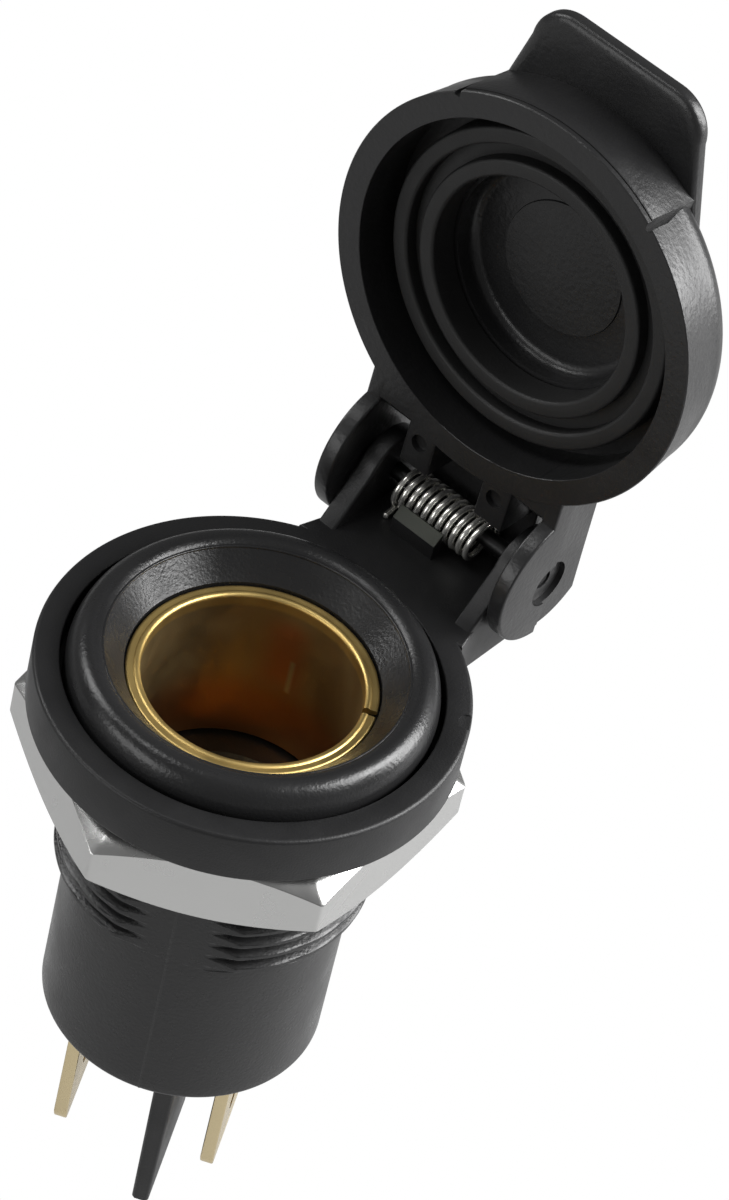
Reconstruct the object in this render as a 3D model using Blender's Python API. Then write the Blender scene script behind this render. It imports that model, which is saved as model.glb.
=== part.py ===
"""Twelve volt panel socket with a sprung hinged lid, for the slim 12 mm plug.

The origin is the centre of the hinge ring's underside, where the ring sits on the panel.
+Z points out of the mouth, +X lies along the hinge pin, and the hinge is on the +Y side.
The lid is modelled closed and then turned open about the pin, as it is seen in use.
Everything inside the barrel is laid out in a frame turned by TERMINAL_TURN about Z.
"""

import math

import bmesh
import bpy
from mathutils import Matrix, Vector

MM = 0.001

# Clearances
FIT = 0.10 * MM
PIN_CLEARANCE = 0.05 * MM
SWING = 0.30 * MM
SEAT = 0.10 * MM

# Contact sleeve: the plug sets its bore, and each piece round it follows from it
SLEEVE_RADIUS = 6.16 * MM
SHEET = 0.35 * MM
LIP_OVERHANG = 0.49 * MM
LIP_HEIGHT = 2.95 * MM
LIP_THICKNESS = 0.42 * MM
SPLIT_WIDTH = 0.30 * MM
SPLIT_TURN = math.radians(28.0)
TAIL_WIDTH = 2.4 * MM
TAIL_LAP = 1.0 * MM

# Barrel, thread and bezel, all one moulding
BARREL_WALL = 1.52 * MM
BARREL_LENGTH = 23.6 * MM
THREAD_STEP = 0.87 * MM
THREAD_LENGTH = 12.0 * MM
FLAT_CUT = 0.65 * MM
RIM_ROUND = 0.4 * MM
BEZEL_FLANGE = 1.3 * MM
CROWN_REACH = 1.2 * MM
CROWN_DROP = 1.9 * MM
CREST_HEIGHT = 4.75 * MM
CREASE_INSET = 0.65 * MM
LAND_RISE = 0.05 * MM

# Hinge ring
RING_HEIGHT = 3.2 * MM
RING_WALL = 1.5 * MM
RING_WEB = 1.2 * MM
RING_ROUND = 0.25 * MM
PLATFORM_FLARE = 0.45 * MM

# Hinge, with lengths along Y told from the pin
PIN_FROM_RING = 4.4 * MM
PIN_ABOVE_RING = 1.75 * MM
OPEN_ANGLE = math.radians(94.0)
PIN_RADIUS = 0.5 * MM
PIN_RECESS = 0.55 * MM
EAR_INNER = 4.5 * MM
EAR_THICKNESS = 1.15 * MM
EAR_RADIUS = 2.5 * MM
EAR_FRONT_SINK = 0.5 * MM
EAR_BACK = 2.0 * MM
EAR_LEAN = math.radians(22.0)
CHEEK_THICKNESS = 1.0 * MM
CHEEK_RADIUS = 4.4 * MM
CHEEK_OFFSET = 0.7 * MM
CHEEK_RISE = 0.4 * MM
CHEEK_STEP = 0.5 * MM
COUNTERBORE_RADIUS = 1.45 * MM
COUNTERBORE_DEPTH = 0.5 * MM
PLATFORM_BACK = 0.9 * MM
BLOCK_WIDTH = 3.1 * MM
BLOCK_THICKNESS = 0.55 * MM
BLOCK_HEIGHT = 1.6 * MM
BLOCK_SLOPE_DEPTH = 0.45 * MM
BLOCK_SLOPE_HEIGHT = 0.8 * MM
BLOCK_OFFSET = -1.03 * MM

# Lid, heights from its rim face
LID_SET_BACK = 0.1 * MM
LID_DRAFT = 0.35 * MM
LID_RIM_WIDTH = 1.56 * MM
LID_SIDE = 3.0 * MM
LID_ROUND = 1.5 * MM
LID_CROWN = 6.3 * MM
LID_INNER_DEPTH = 3.5 * MM
LID_ROOT = 2.9 * MM
CUP_MARGIN = 0.18 * MM
CUP_DEPTH = 4.85 * MM
CUP_ROUND = 0.6 * MM
CUP_MARK_INSET = 2.34 * MM
CUP_MARK_RISE = 0.15 * MM
NECK_HEIGHT = 4.0 * MM
NECK_PLATE = 1.15 * MM
NECK_FRONT = 3.2 * MM
WEB_PLATE = 1.5 * MM
TONGUE_SIDE = 0.75 * MM
TONGUE_BACK = 2.4 * MM
LUG_WIDTH = 2.0 * MM
LUG_FRONT = 2.3 * MM
LUG_MARK_FRONT = 4.05 * MM
LUG_MARK_RADIUS = 0.55 * MM
LUG_MARK_DEPTH = 0.4 * MM
TAB_HALF_WIDTH = 7.3 * MM
TAB_TIP_HALF_WIDTH = 5.9 * MM
TAB_LENGTH = 3.35 * MM
TAB_THICKNESS = 1.6 * MM
TAB_CORNER = 2.4 * MM
TAB_BORDER = 0.95 * MM
TAB_BORDER_DEPTH = 0.55 * MM
TAB_BEVEL = 0.35 * MM
TAB_ROOT = 5.4 * MM
TAB_BASE_HALF_WIDTH = 6.5 * MM
TAB_BASE_STEP = 0.4 * MM

# Soft seal in the lid
SEAL_LIP_REACH = 0.3 * MM
SEAL_CUP_MARGIN = 0.21 * MM
SEAL_RIB_WIDTH = 1.0 * MM
SEAL_LIP_GAP = 0.30 * MM
SEAL_BASE = 1.0 * MM
SEAL_NOSE = 0.2 * MM

# Torsion spring
WIRE_RADIUS = 0.21 * MM
COIL_RADIUS = 1.02 * MM
COIL_TURNS = 11
COIL_PITCH = 0.52 * MM
COIL_PLACE = -0.75 * MM
COIL_SAG = 0.19 * MM
LOWER_LEG = 4.6 * MM
UPPER_LEG = 2.1 * MM
LEG_SPLAY = 0.5 * MM
COIL_STEPS = 10

# Hexagonal nut
NUT_WALL = 2.0 * MM
NUT_HEIGHT = 4.9 * MM
NUT_CHAMFER_INSET = 0.7 * MM
NUT_CHAMFER = math.radians(30.0)
NUT_TURN = math.radians(33.0)
NUT_GAP = 0.30 * MM
NUT_MOUTH = 0.35 * MM

# Centre contact and what carries it
INSULATOR_LENGTH = 8.1 * MM
INSULATOR_FLOOR = 1.2 * MM
INSULATOR_FUNNEL = 0.8 * MM
CENTRE_RADIUS = 3.1 * MM
CENTRE_ROOM = 0.45 * MM
CENTRE_LENGTH = 4.6 * MM
CENTRE_SLOTS = 4
CENTRE_SLOT_WIDTH = 0.9 * MM
CENTRE_SLOT_FLOOR = 1.2 * MM
CENTRE_FLARE = 0.3 * MM
CENTRE_FLARE_LENGTH = 0.8 * MM
WASHER_BRIM = 1.0 * MM
CENTRE_RIVET_RADIUS = 0.8 * MM
TAIL_RIVET_RADIUS = 0.6 * MM
RIVET_HEAD = 0.5 * MM
RIVET_HEAD_SHARE = 1.75

# Terminals and the base that carries them
TERMINAL_TURN = math.radians(27.0)
BLADE_WIDTH = 6.3 * MM
BLADE_THICKNESS = 0.8 * MM
BLADE_OUTSIDE = 10.9 * MM
BLADE_TIP_TAPER = 0.35 * MM
BLADE_HOLE_RADIUS = 0.8 * MM
BLADE_HOLE_FROM_TIP = 3.2 * MM
NEGATIVE_INSET = 1.61 * MM
POSITIVE_INSET = 2.61 * MM
FOOT_WIDTH = 4.4 * MM
TAIL_RIVET_STEP = 1.7 * MM
BASE_THICKNESS = 5.05 * MM
BASE_RECESS = 0.7 * MM
BASE_CHAMFER = 0.3 * MM
BARRIER_PLACE = 0.8 * MM
BARRIER_WIDTH = 8.4 * MM
BARRIER_THICKNESS = 1.4 * MM
BARRIER_TIP_THICKNESS = 1.0 * MM
BARRIER_OUTSIDE = 14.5 * MM

# How far a cutter runs past what it cuts, and the facets round a full turn
PAST = 1.0 * MM
WIDE_STEPS = 56
MEDIUM_STEPS = 36
SMALL_STEPS = 20
TINY_STEPS = 14

# Radii that follow from the sleeve outwards
LIP_RADIUS = SLEEVE_RADIUS + SHEET + LIP_OVERHANG
BORE_RADIUS = SLEEVE_RADIUS + SHEET + FIT
BARREL_RADIUS = BORE_RADIUS + BARREL_WALL
THREAD_RADIUS = BARREL_RADIUS + THREAD_STEP
FLAT_DISTANCE = THREAD_RADIUS - FLAT_CUT
BEZEL_RADIUS = THREAD_RADIUS + BEZEL_FLANGE
CREST_RADIUS = BEZEL_RADIUS - CROWN_REACH
CREASE_RADIUS = CREST_RADIUS - CREASE_INSET
RING_INNER = BEZEL_RADIUS + SWING
RING_RADIUS = RING_INNER + RING_WALL
LID_RADIUS = RING_RADIUS - LID_SET_BACK
CUP_RADIUS = SLEEVE_RADIUS + CUP_MARGIN
CUP_MARK_RADIUS = CUP_RADIUS - CUP_MARK_INSET
SEAL_INNER_RADIUS = CUP_RADIUS + SEAL_CUP_MARGIN
SEAL_OUTER_RADIUS = CREST_RADIUS + SEAL_LIP_REACH
NUT_FLATS = 2.0 * (THREAD_RADIUS + NUT_WALL)
NUT_CHAMFER_RADIUS = NUT_FLATS * 0.5 - NUT_CHAMFER_INSET
INSULATOR_BORE = CENTRE_RADIUS + SHEET + CENTRE_ROOM
WASHER_RADIUS = CENTRE_RIVET_RADIUS + WASHER_BRIM

# The pin's place, and the reaches along Y that follow from it
HINGE_REACH = RING_RADIUS + PIN_FROM_RING
HINGE_HEIGHT = RING_HEIGHT + PIN_ABOVE_RING
PLATFORM_REACH = HINGE_REACH + PLATFORM_BACK
NECK_REACH = HINGE_REACH - NECK_FRONT
LUG_REACH = HINGE_REACH - LUG_FRONT
LUG_MARK_REACH = HINGE_REACH - LUG_MARK_FRONT
TONGUE_REACH = HINGE_REACH + TONGUE_BACK
TAB_REACH = LID_RADIUS + TAB_LENGTH
EYE = (HINGE_REACH, HINGE_HEIGHT)

# Places across X that follow from the ears
EAR_OUTER = EAR_INNER + EAR_THICKNESS
CHEEK_INNER = EAR_OUTER + SWING
CHEEK_OUTER = CHEEK_INNER + CHEEK_THICKNESS
PIN_HALF = CHEEK_OUTER - PIN_RECESS
TONGUE_HALF = EAR_INNER - TONGUE_SIDE

# Heights of the outside
CREASE_ANGLE = math.acos(-CREASE_INSET / CROWN_REACH)
CREASE_HEIGHT = CREST_HEIGHT - CROWN_DROP * (1.0 - math.sin(CREASE_ANGLE))
LAND_HEIGHT = LIP_HEIGHT - LIP_THICKNESS - SEAT
FLANGE_UNDERSIDE = RING_WEB + SEAT
RIM_FACE = RING_HEIGHT + SWING
NECK_TOP = RIM_FACE + NECK_HEIGHT
SEAL_LIP = CREST_HEIGHT + SEAL_LIP_GAP
SEAL_SEAT = RIM_FACE + LID_INNER_DEPTH

# Heights inside the barrel, stacked from its lower end up to the sleeve
BASE_BOTTOM = -(BARREL_LENGTH - BASE_RECESS)
BASE_TOP = BASE_BOTTOM + BASE_THICKNESS
FOOT_BOTTOM = BASE_TOP + SEAT
FOOT_TOP = FOOT_BOTTOM + BLADE_THICKNESS
WASHER_BOTTOM = FOOT_TOP + SEAT
WASHER_TOP = WASHER_BOTTOM + SHEET
INSULATOR_BOTTOM = WASHER_TOP + SEAT
INSULATOR_TOP = INSULATOR_BOTTOM + INSULATOR_LENGTH
SLEEVE_BOTTOM = INSULATOR_TOP + SWING
BLADE_TIP = BARREL_LENGTH + BLADE_OUTSIDE
BARRIER_TIP = BARREL_LENGTH + BARRIER_OUTSIDE

# Places across the terminals' own frame
NEGATIVE_PLACE = NEGATIVE_INSET - BORE_RADIUS
POSITIVE_PLACE = BORE_RADIUS - POSITIVE_INSET
TAIL_RIVET_PLACE = NEGATIVE_PLACE + TAIL_RIVET_STEP
TAIL_FACE = -(SLEEVE_RADIUS + SHEET * 0.7)


def clear_scene():
    for item in list(bpy.data.objects):
        bpy.data.objects.remove(item, do_unlink=True)


def finish(name, colour, roughness, metallic):
    """A plain surface: colour, roughness and metal share."""
    material = bpy.data.materials.new(name)
    material.use_nodes = True
    shader = material.node_tree.nodes["Principled BSDF"]
    shader.inputs["Base Color"].default_value = (*colour, 1.0)
    shader.inputs["Roughness"].default_value = roughness
    shader.inputs["Metallic"].default_value = metallic
    return material


def placed(bm, name, material=None, parent=None, turn=0.0, smooth=True):
    """Turn a bmesh into an object, turned about Z by turn."""
    bmesh.ops.remove_doubles(bm, verts=bm.verts, dist=1e-7)
    bmesh.ops.recalc_face_normals(bm, faces=bm.faces)
    mesh = bpy.data.meshes.new(name)
    bm.to_mesh(mesh)
    bm.free()
    if smooth:
        mesh.shade_smooth()
        mesh.set_sharp_from_angle(angle=math.radians(32.0))
    item = bpy.data.objects.new(name, mesh)
    bpy.context.scene.collection.objects.link(item)
    item.rotation_euler.z = turn
    if parent:
        item.parent = parent
    if material:
        mesh.materials.append(material)
    else:
        item.hide_render = True
        item.display_type = "WIRE"
    return item


def turned_profile(profile, segments):
    """Turn a closed outline of (radius, height) points about Z."""
    bm = bmesh.new()
    ring = [bm.verts.new((radius, 0.0, height)) for radius, height in profile]
    edges = []
    for first, second in zip(ring, ring[1:] + ring[:1]):
        if first.co.x > 0.0 or second.co.x > 0.0:
            edges.append(bm.edges.new((first, second)))
    bmesh.ops.spin(
        bm,
        geom=ring + edges,
        axis=(0.0, 0.0, 1.0),
        cent=(0.0, 0.0, 0.0),
        steps=segments,
        angle=2.0 * math.pi,
    )
    bmesh.ops.remove_doubles(bm, verts=bm.verts, dist=1e-7)
    return bm


def plate(outline, low, high, plane="XY"):
    """A flat outline given a thickness from low to high across its plane."""
    spots = {
        "XY": lambda a, b, c: (a, b, c),
        "YZ": lambda a, b, c: (c, a, b),
        "XZ": lambda a, b, c: (a, c, b),
    }[plane]
    bm = bmesh.new()
    bottom = [bm.verts.new(spots(a, b, low)) for a, b in outline]
    top = [bm.verts.new(spots(a, b, high)) for a, b in outline]
    bm.faces.new(bottom)
    bm.faces.new(top)
    count = len(outline)
    for index in range(count):
        after = (index + 1) % count
        bm.faces.new((bottom[index], bottom[after], top[after], top[index]))
    return bm


def lofted(outlines, heights):
    """A solid through outlines of as many points each, one above the other."""
    bm = bmesh.new()
    rings = []
    for outline, height in zip(outlines, heights):
        rings.append([bm.verts.new((x, y, height)) for x, y in outline])
    for lower, upper in zip(rings, rings[1:]):
        bmesh.ops.bridge_loops(bm, edges=loop_edges(bm, lower) + loop_edges(bm, upper))
    bm.faces.new(rings[0])
    bm.faces.new(rings[-1])
    return bm


def loop_edges(bm, ring):
    """The edges round a ring of points, made where they are missing."""
    edges = []
    for first, second in zip(ring, ring[1:] + ring[:1]):
        edges.append(bm.edges.get((first, second)) or bm.edges.new((first, second)))
    return edges


def box(low, high):
    """A block between two corners."""
    outline = [(low[0], low[1]), (high[0], low[1]), (high[0], high[1]), (low[0], high[1])]
    return plate(outline, low[2], high[2])


def arc(centre, radius, start, end, steps, rise=None):
    """Points on an arc, angles in degrees, both ends included. A rise makes it an oval's."""
    tall = radius if rise is None else rise
    points = []
    for index in range(steps + 1):
        angle = math.radians(start + (end - start) * index / steps)
        spot = (centre[0] + radius * math.cos(angle), centre[1] + tall * math.sin(angle))
        points.append(spot)
    return points


def rod(radius, low, high, axis="Z", centre=(0.0, 0.0), segments=SMALL_STEPS):
    """A round bar along X or Z, through centre in the plane across it."""
    outline = arc(centre, radius, 0.0, 360.0, segments)[:-1]
    return plate(outline, low, high, "YZ" if axis == "X" else "XY")


def combine(item, operation, cutter):
    modifier = item.modifiers.new(cutter.name, "BOOLEAN")
    modifier.operation = operation
    modifier.solver = "EXACT"
    modifier.object = cutter


def shifted(bm, offset):
    bmesh.ops.translate(bm, verts=bm.verts, vec=offset)
    return bm


def make_socket_body(black):
    """One moulding: domed bezel, threaded neck with two flats, plain barrel."""
    middle = (CREST_RADIUS, CREST_HEIGHT - CROWN_DROP)
    crown = arc(middle, CROWN_REACH, math.degrees(CREASE_ANGLE), 0.0, 9, rise=CROWN_DROP)
    thread_end = -THREAD_LENGTH
    chamfer = THREAD_RADIUS - BARREL_RADIUS
    profile = [
        (BORE_RADIUS, -BARREL_LENGTH),
        (BORE_RADIUS, LAND_HEIGHT),
        (LIP_RADIUS + FIT, LAND_HEIGHT),
        (LIP_RADIUS + FIT, LIP_HEIGHT + LAND_RISE),
    ]
    profile += crown
    profile += [
        (BEZEL_RADIUS, FLANGE_UNDERSIDE),
        (THREAD_RADIUS, FLANGE_UNDERSIDE),
        (THREAD_RADIUS, thread_end + chamfer * 0.5),
        (BARREL_RADIUS, thread_end),
        (BARREL_RADIUS, -BARREL_LENGTH + RIM_ROUND),
        (BARREL_RADIUS - RIM_ROUND * 0.3, -BARREL_LENGTH + RIM_ROUND * 0.3),
        (BARREL_RADIUS - RIM_ROUND, -BARREL_LENGTH),
    ]
    body = placed(turned_profile(profile, WIDE_STEPS), "socket_body", black)
    for side, name in ((-1.0, "front_flat_cutter"), (1.0, "rear_flat_cutter")):
        near = FLAT_DISTANCE * side
        far = (THREAD_RADIUS + PAST) * side
        low = (-THREAD_RADIUS, min(near, far), -THREAD_LENGTH - PAST)
        high = (THREAD_RADIUS, max(near, far), -NUT_GAP)
        cutter = placed(box(low, high), name, turn=TERMINAL_TURN, smooth=False)
        combine(body, "DIFFERENCE", cutter)
    return body


def ear_outline():
    """Side view of an ear: a round eye on the pin, on a foot that leans forward."""
    rounded = arc(EYE, EAR_RADIUS, 180.0 - math.degrees(EAR_LEAN), -20.0, 11)
    foot_front = RING_RADIUS - EAR_FRONT_SINK
    foot_back = HINGE_REACH + EAR_BACK
    return [(foot_front, 0.0), (foot_front, RING_HEIGHT)] + rounded + [(foot_back, 0.0)]


def make_hinge_ring(matte):
    """Flanged collar round the bezel, with the hinge platform, two ears and the spring block."""
    profile = [
        (THREAD_RADIUS + FIT, 0.0),
        (RING_RADIUS, 0.0),
        (RING_RADIUS, RING_HEIGHT - RING_ROUND),
        (RING_RADIUS - RING_ROUND, RING_HEIGHT),
        (RING_INNER, RING_HEIGHT),
        (RING_INNER, RING_WEB),
        (THREAD_RADIUS + FIT, RING_WEB),
    ]
    ring = placed(turned_profile(profile, WIDE_STEPS), "hinge_ring", matte)

    root = RING_INNER - FIT
    flare = PLATFORM_FLARE
    outline = [(-EAR_OUTER - flare, root), (EAR_OUTER + flare, root)]
    outline += [(EAR_OUTER, RING_RADIUS), (EAR_OUTER, PLATFORM_REACH)]
    outline += [(-EAR_OUTER, PLATFORM_REACH), (-EAR_OUTER, RING_RADIUS)]
    platform = placed(plate(outline, 0.0, RING_HEIGHT), "platform_guide", smooth=False)
    keep_out = placed(rod(RING_INNER, RING_WEB, RING_HEIGHT + PAST, segments=WIDE_STEPS), "bezel_room_cutter")
    combine(platform, "DIFFERENCE", keep_out)
    combine(ring, "UNION", platform)
    for side, name in ((-1.0, "left_ear_guide"), (1.0, "right_ear_guide")):
        near, far = sorted((EAR_INNER * side, EAR_OUTER * side))
        ear = placed(plate(ear_outline(), near, far, "YZ"), name, smooth=False)
        combine(ring, "UNION", ear)

    back = HINGE_REACH - COIL_SAG - COIL_RADIUS - WIRE_RADIUS - FIT
    front = back - BLOCK_THICKNESS
    top = RING_HEIGHT + BLOCK_HEIGHT
    section = [
        (front, RING_HEIGHT * 0.5),
        (front, top - BLOCK_SLOPE_HEIGHT),
        (front + BLOCK_SLOPE_DEPTH, top),
        (back, top),
        (back, RING_HEIGHT * 0.5),
    ]
    left = BLOCK_OFFSET - BLOCK_WIDTH * 0.5
    block = plate(section, left, left + BLOCK_WIDTH, "YZ")
    combine(ring, "UNION", placed(block, "block_guide", smooth=False))

    hole = rod(PIN_RADIUS + PIN_CLEARANCE, -EAR_OUTER - PAST, EAR_OUTER + PAST, "X", EYE)
    combine(ring, "DIFFERENCE", placed(hole, "ear_hole_cutter", smooth=False))
    return ring


def lid_profile():
    """Half section of the lid, closed: drafted wall, rounded shoulder, crowned back, cup."""
    shoulder = (LID_RADIUS - LID_DRAFT - LID_ROUND, RIM_FACE + LID_SIDE)
    back = arc(shoulder, LID_ROUND, 0.0, 78.0, 5)
    top_radius, top_height = back[-1]
    rise = RIM_FACE + LID_CROWN - top_height
    crown = [
        (top_radius * (1.0 - step / 4.0), top_height + rise * (1.0 - (1.0 - step / 4.0) ** 2))
        for step in range(1, 5)
    ]
    floor = RIM_FACE + CUP_DEPTH
    inside = [
        (0.0, floor - CUP_MARK_RISE),
        (CUP_MARK_RADIUS, floor - CUP_MARK_RISE),
        (CUP_MARK_RADIUS, floor),
    ]
    inside += arc((CUP_RADIUS - CUP_ROUND, floor - CUP_ROUND), CUP_ROUND, 90.0, 0.0, 4)
    inside += [
        (CUP_RADIUS, SEAL_SEAT),
        (LID_RADIUS - LID_RIM_WIDTH, SEAL_SEAT),
        (LID_RADIUS - LID_RIM_WIDTH, RIM_FACE),
    ]
    return [(LID_RADIUS, RIM_FACE)] + back + crown + inside


def tab_outline(inset):
    """Plan of the thumb tab, from its root in the wall to its rounded tip, drawn in by inset."""
    root = LID_RADIUS - TAB_ROOT
    centre = (TAB_TIP_HALF_WIDTH - TAB_CORNER, TAB_CORNER - TAB_REACH)
    right = arc(centre, TAB_CORNER - inset, 0.0, -90.0, 6)
    left = [(-x, y) for x, y in reversed(right)]
    half = TAB_HALF_WIDTH - inset
    return [(half, -root)] + right + left + [(-half, -root)]


def make_tab():
    """The tab lofted upwards: rounded border below, straight edge, small bevel on top."""
    border = arc((TAB_BORDER, TAB_BORDER_DEPTH), TAB_BORDER, 270.0, 180.0, 4, rise=TAB_BORDER_DEPTH)
    insets = [inset for inset, height in border] + [0.0, TAB_BEVEL]
    rises = [height for inset, height in border] + [TAB_THICKNESS - TAB_BEVEL, TAB_THICKNESS]
    return lofted([tab_outline(inset) for inset in insets], [NECK_TOP + rise for rise in rises])


def tab_base_outline(height):
    """Plan of the wall that carries the tab, a sector of the lid's drafted side."""
    radius = LID_RADIUS - LID_DRAFT * (height - RIM_FACE) / LID_SIDE
    half_angle = math.degrees(math.asin(TAB_BASE_HALF_WIDTH / radius))
    sector = arc((0.0, 0.0), radius, half_angle - 90.0, -half_angle - 90.0, 10)
    root = TAB_ROOT - LID_RADIUS
    return [(TAB_BASE_HALF_WIDTH, root)] + sector + [(-TAB_BASE_HALF_WIDTH, root)]


def cheek_outline():
    """Side view of a lid cheek: a broad rounded plate, cut flat on top, set in above the pin."""
    centre = (HINGE_REACH - CHEEK_OFFSET, HINGE_HEIGHT)
    inner = CHEEK_RADIUS - CHEEK_STEP
    top = math.degrees(math.asin((NECK_TOP + CHEEK_RISE - HINGE_HEIGHT) / inner))
    front = math.degrees(math.asin((HINGE_HEIGHT - RIM_FACE) / CHEEK_RADIUS))
    upper = arc(centre, inner, top, 0.0, 4)
    lower = arc(centre, CHEEK_RADIUS, 0.0, -180.0 + front, 14)
    root = LID_RADIUS - LID_ROOT
    return [(root, NECK_TOP)] + upper + lower + [(root, RIM_FACE)]


def make_lid(black, hinge):
    """Hinged cap: crowned shell with a cup, thumb tab, neck, lugs and two cheeks."""
    home = Vector((0.0, -HINGE_REACH, -HINGE_HEIGHT))

    def piece(bm, name, material=None, smooth=False):
        return placed(shifted(bm, home), name, material, parent=hinge, smooth=smooth)

    lid = piece(turned_profile(lid_profile(), WIDE_STEPS), "lid", black, smooth=True)

    wall_inner = LID_RADIUS - LID_RIM_WIDTH
    hollow = piece(rod(wall_inner, 0.0, SEAL_SEAT, segments=WIDE_STEPS), "inside_cutter")
    heights = [RIM_FACE + TAB_BASE_STEP, NECK_TOP + TAB_BORDER_DEPTH + FIT]
    base_bm = lofted([tab_base_outline(height) for height in heights], heights)
    tab_base = piece(base_bm, "tab_base_guide")
    combine(tab_base, "DIFFERENCE", hollow)
    combine(lid, "UNION", tab_base)
    combine(lid, "UNION", piece(make_tab(), "tab_guide"))

    root = LID_RADIUS - LID_ROOT
    tongue = [
        (root, NECK_TOP - NECK_PLATE),
        (TONGUE_REACH, NECK_TOP - NECK_PLATE),
        (TONGUE_REACH, NECK_TOP - NECK_PLATE * 0.5),
        (TONGUE_REACH - NECK_PLATE * 0.5, NECK_TOP),
        (root, NECK_TOP),
    ]
    combine(lid, "UNION", piece(plate(tongue, -TONGUE_HALF, TONGUE_HALF, "YZ"), "tongue_guide"))
    web = box((-CHEEK_OUTER, root, NECK_TOP - WEB_PLATE), (CHEEK_OUTER, NECK_REACH, NECK_TOP))
    combine(lid, "UNION", piece(web, "web_guide"))

    for side, word in ((-1.0, "left"), (1.0, "right")):
        near, far = sorted(((TONGUE_HALF - LUG_WIDTH) * side, TONGUE_HALF * side))
        lug = piece(box((near, root, RIM_FACE), (far, LUG_REACH, NECK_TOP)), f"{word}_lug_guide")
        combine(lid, "UNION", lug)
        near, far = sorted((CHEEK_INNER * side, CHEEK_OUTER * side))
        cheek = piece(plate(cheek_outline(), near, far, "YZ"), f"{word}_cheek_guide")
        combine(lid, "UNION", cheek)
        middle = (TONGUE_HALF - LUG_WIDTH * 0.5) * side
        mark_centre = (middle, LUG_MARK_REACH)
        mark = rod(LUG_MARK_RADIUS, RIM_FACE - PAST, RIM_FACE + LUG_MARK_DEPTH, "Z", mark_centre, TINY_STEPS)
        combine(lid, "DIFFERENCE", piece(mark, f"{word}_lug_mark_cutter"))
        near, far = sorted(((CHEEK_OUTER - COUNTERBORE_DEPTH) * side, (CHEEK_OUTER + PAST) * side))
        recess = rod(COUNTERBORE_RADIUS, near, far, "X", EYE)
        combine(lid, "DIFFERENCE", piece(recess, f"{word}_recess_cutter"))
    combine(lid, "DIFFERENCE", hollow)

    hole_radius = PIN_RADIUS + 2.0 * PIN_CLEARANCE
    hole = rod(hole_radius, -CHEEK_OUTER - PAST, CHEEK_OUTER + PAST, "X", EYE)
    combine(lid, "DIFFERENCE", piece(hole, "cheek_hole_cutter"))
    return lid


def make_lid_seal(rubber, hinge):
    """Soft ring in the lid with two lips: the outer one closes on the bezel's crest."""
    top = SEAL_SEAT - SEAT
    base = top - SEAL_BASE
    lip = SEAL_LIP
    width = SEAL_RIB_WIDTH
    nose = SEAL_NOSE
    profile = [
        (SEAL_INNER_RADIUS, top),
        (SEAL_INNER_RADIUS, lip + nose),
        (SEAL_INNER_RADIUS + nose, lip),
        (SEAL_INNER_RADIUS + width - nose, lip),
        (SEAL_INNER_RADIUS + width, lip + nose),
        (SEAL_INNER_RADIUS + width, base),
        (SEAL_OUTER_RADIUS - width, base),
        (SEAL_OUTER_RADIUS - width, lip + nose),
        (SEAL_OUTER_RADIUS - width + nose, lip),
        (SEAL_OUTER_RADIUS - nose, lip),
        (SEAL_OUTER_RADIUS, lip + nose),
        (SEAL_OUTER_RADIUS, top),
    ]
    bm = shifted(turned_profile(profile, WIDE_STEPS), Vector((0.0, -HINGE_REACH, -HINGE_HEIGHT)))
    return placed(bm, "lid_seal", rubber, parent=hinge)


def make_hinge_pin(dark_steel):
    bm = rod(PIN_RADIUS, -PIN_HALF, PIN_HALF, "X", EYE)
    return placed(bm, "hinge_pin", dark_steel)


def spring_path():
    """Leg on the platform, close coil round the pin, and leg up the back of the lid."""
    half = COIL_TURNS * COIL_PITCH * 0.5
    centre = Vector((COIL_PLACE, HINGE_REACH - COIL_SAG, HINGE_HEIGHT - COIL_SAG))
    start_angle = math.radians(250.0)
    end_angle = start_angle - 2.0 * math.pi * (COIL_TURNS - 0.5) - math.radians(70.0)
    steps = int(COIL_STEPS * COIL_TURNS)
    coil = []
    for index in range(steps + 1):
        share = index / steps
        angle = start_angle + (end_angle - start_angle) * share
        offset = Vector((0.0, math.cos(angle), math.sin(angle))) * COIL_RADIUS
        coil.append(centre + offset + Vector((-half + 2.0 * half * share, 0.0, 0.0)))
    rest = RING_HEIGHT + WIRE_RADIUS + 2.0 * SEAT
    first = coil[0]
    lower_leg = [
        Vector((first.x + LEG_SPLAY, HINGE_REACH - LOWER_LEG, rest)),
        Vector((first.x + LEG_SPLAY * 0.3, HINGE_REACH - LOWER_LEG * 0.35, rest)),
    ]
    last = coil[-1]
    plate_face = NECK_TOP - NECK_PLATE - HINGE_HEIGHT
    behind = HINGE_REACH + plate_face - WIRE_RADIUS - SWING
    upper_leg = [
        Vector((last.x, behind, last.z + UPPER_LEG * 0.4)),
        Vector((last.x, behind, HINGE_HEIGHT + UPPER_LEG)),
    ]
    return lower_leg + coil + upper_leg


def make_torsion_spring(bright_steel):
    """Round wire swept along the path: a curve with a bevel and filled ends."""
    points = spring_path()
    curve = bpy.data.curves.new("torsion_spring", "CURVE")
    curve.dimensions = "3D"
    curve.bevel_depth = WIRE_RADIUS
    curve.bevel_resolution = 1
    curve.use_fill_caps = True
    line = curve.splines.new("POLY")
    line.points.add(len(points) - 1)
    for spot, point in zip(line.points, points):
        spot.co = (*point, 1.0)
    curve.materials.append(bright_steel)
    item = bpy.data.objects.new("torsion_spring", curve)
    bpy.context.scene.collection.objects.link(item)
    return item


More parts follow.
